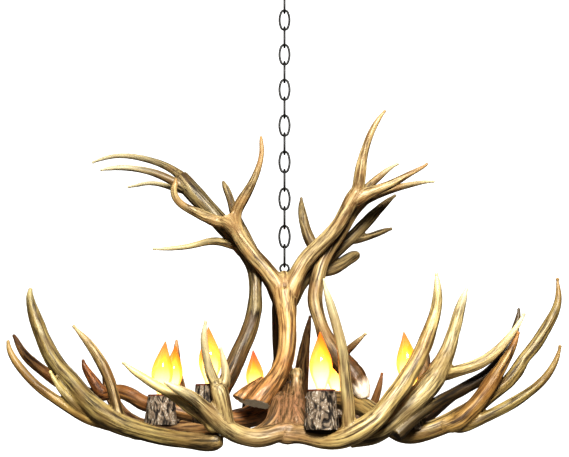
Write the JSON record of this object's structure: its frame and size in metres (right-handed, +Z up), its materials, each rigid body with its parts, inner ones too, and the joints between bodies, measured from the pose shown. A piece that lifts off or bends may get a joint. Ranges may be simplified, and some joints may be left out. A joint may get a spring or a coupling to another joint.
{
  "type": "antler chandelier",
  "caption": "Chandelier of shed antlers in a ring with four uprights, candle lights in bark cups, a black wiring hub, a link chain and a ceiling canopy.",
  "frame": {"origin": "centre of the canopy's face against the ceiling", "axes": "+Z up through the ceiling, +X to the right and -Y towards the viewer of the picture"},
  "size_m": [0.8925, 0.6101, 0.8431],
  "materials": {
    "black_steel": "satin black",
    "zinc_steel": "zinc plated",
    "green_screw": "green painted",
    "antler": "natural shed antler, satin",
    "antler_bark": "rough antler bark",
    "amber_glass": "amber tinted",
    "nickel_brass": "bright",
    "phenolic": "moulded black",
    "wire_sleeve": "brown sleeve"
  },
  "bodies": {
    "ceiling_fitting": {"canopy": "black_steel", "mounting_crossbar": "zinc_steel", "ground_screw": "green_screw", "crossbar_nipple": "zinc_steel", "canopy_collar_nut": "black_steel", "canopy_loop": "black_steel"},
    "body_chain_link_15": {"chain_link_15": "black_steel"},
    "body_chain_link_14": {"chain_link_14": "black_steel"},
    "body_chain_link_13": {"chain_link_13": "black_steel"},
    "body_chain_link_12": {"chain_link_12": "black_steel"},
    "body_chain_link_11": {"chain_link_11": "black_steel"},
    "body_chain_link_10": {"chain_link_10": "black_steel"},
    "body_chain_link_09": {"chain_link_09": "black_steel"},
    "body_chain_link_08": {"chain_link_08": "black_steel"},
    "body_chain_link_07": {"chain_link_07": "black_steel"},
    "body_chain_link_06": {"chain_link_06": "black_steel"},
    "body_chain_link_05": {"chain_link_05": "black_steel"},
    "body_chain_link_04": {"chain_link_04": "black_steel"},
    "body_chain_link_03": {"chain_link_03": "black_steel"},
    "body_chain_link_02": {"chain_link_02": "black_steel"},
    "body_chain_link_01": {"chain_link_01": "black_steel"},
    "antler_body": {"hanger_loop": "black_steel", "crown_cap": "black_steel", "centre_tube": "black_steel", "wiring_hub": "black_steel", "hub_cover": "black_steel", "tube_locknuts": "zinc_steel", "terminal_block": "phenolic", "harness_wires": "wire_sleeve", "antler_dowels": "zinc_steel", "front_ring_antler": "antler", "front_right_ring_antler": "antler", "right_ring_antler": "antler", "back_right_ring_antler": "antler", "back_ring_antler": "antler", "back_left_ring_antler": "antler", "left_ring_antler": "antler", "front_left_ring_antler": "antler", "front_upright": "antler", "back_upright": "antler", "left_upright": "antler", "right_upright": "antler", "candle_cup_1": "antler_bark", "candle_cup_2": "antler_bark", "candle_cup_3": "antler_bark", "candle_cup_4": "antler_bark", "candle_cup_5": "antler_bark", "candle_cup_6": "antler_bark", "candle_cup_7": "antler_bark", "candle_cup_8": "antler_bark", "bulb_1": "amber_glass", "bulb_2": "amber_glass", "bulb_3": "amber_glass", "bulb_4": "amber_glass", "bulb_5": "amber_glass", "bulb_6": "amber_glass", "bulb_7": "amber_glass", "bulb_8": "amber_glass", "bulb_screw_bases": "nickel_brass", "lamp_sockets": "phenolic"}
  },
  "joints": [
    {"name": "chain_link_15_swing", "type": "hinge", "parent": "ceiling_fitting", "child": "body_chain_link_15", "pos_m": [0, 0, -0.05195], "axis": [1, 0, 0], "range_deg": [-25, 25]},
    {"name": "chain_link_14_swing", "type": "hinge", "parent": "body_chain_link_15", "child": "body_chain_link_14", "pos_m": [0, 0, -0.08485], "axis": [0, 1, 0], "range_deg": [-25, 25]},
    {"name": "chain_link_13_swing", "type": "hinge", "parent": "body_chain_link_14", "child": "body_chain_link_13", "pos_m": [0, 0, -0.11785], "axis": [1, 0, 0], "range_deg": [-4, 4]},
    {"name": "chain_link_12_swing", "type": "hinge", "parent": "body_chain_link_13", "child": "body_chain_link_12", "pos_m": [0, 0, -0.15085], "axis": [0, 1, 0], "range_deg": [-4, 4]},
    {"name": "chain_link_11_swing", "type": "hinge", "parent": "body_chain_link_12", "child": "body_chain_link_11", "pos_m": [0, 0, -0.18385], "axis": [1, 0, 0], "range_deg": [-4, 4]},
    {"name": "chain_link_10_swing", "type": "hinge", "parent": "body_chain_link_11", "child": "body_chain_link_10", "pos_m": [0, 0, -0.21685], "axis": [0, 1, 0], "range_deg": [-4, 4]},
    {"name": "chain_link_09_swing", "type": "hinge", "parent": "body_chain_link_10", "child": "body_chain_link_09", "pos_m": [0, 0, -0.24985], "axis": [1, 0, 0], "range_deg": [-4, 4]},
    {"name": "chain_link_08_swing", "type": "hinge", "parent": "body_chain_link_09", "child": "body_chain_link_08", "pos_m": [0, 0, -0.28285], "axis": [0, 1, 0], "range_deg": [-4, 4]},
    {"name": "chain_link_07_swing", "type": "hinge", "parent": "body_chain_link_08", "child": "body_chain_link_07", "pos_m": [0, 0, -0.31585], "axis": [1, 0, 0], "range_deg": [-4, 4]},
    {"name": "chain_link_06_swing", "type": "hinge", "parent": "body_chain_link_07", "child": "body_chain_link_06", "pos_m": [0, 0, -0.34885], "axis": [0, 1, 0], "range_deg": [-4, 4]},
    {"name": "chain_link_05_swing", "type": "hinge", "parent": "body_chain_link_06", "child": "body_chain_link_05", "pos_m": [0, 0, -0.38185], "axis": [1, 0, 0], "range_deg": [-4, 4]},
    {"name": "chain_link_04_swing", "type": "hinge", "parent": "body_chain_link_05", "child": "body_chain_link_04", "pos_m": [0, 0, -0.41485], "axis": [0, 1, 0], "range_deg": [-4, 4]},
    {"name": "chain_link_03_swing", "type": "hinge", "parent": "body_chain_link_04", "child": "body_chain_link_03", "pos_m": [0, 0, -0.44785], "axis": [1, 0, 0], "range_deg": [-4, 4]},
    {"name": "chain_link_02_swing", "type": "hinge", "parent": "body_chain_link_03", "child": "body_chain_link_02", "pos_m": [0, 0, -0.48085], "axis": [0, 1, 0], "range_deg": [-4, 4]},
    {"name": "chain_link_01_swing", "type": "hinge", "parent": "body_chain_link_02", "child": "body_chain_link_01", "pos_m": [0, 0, -0.51385], "axis": [1, 0, 0], "range_deg": [-4, 4]},
    {"name": "hanger_swing", "type": "hinge", "parent": "body_chain_link_01", "child": "antler_body", "pos_m": [0, 0, -0.54685], "axis": [0, 1, 0], "range_deg": [-4, 4]}
  ]
}
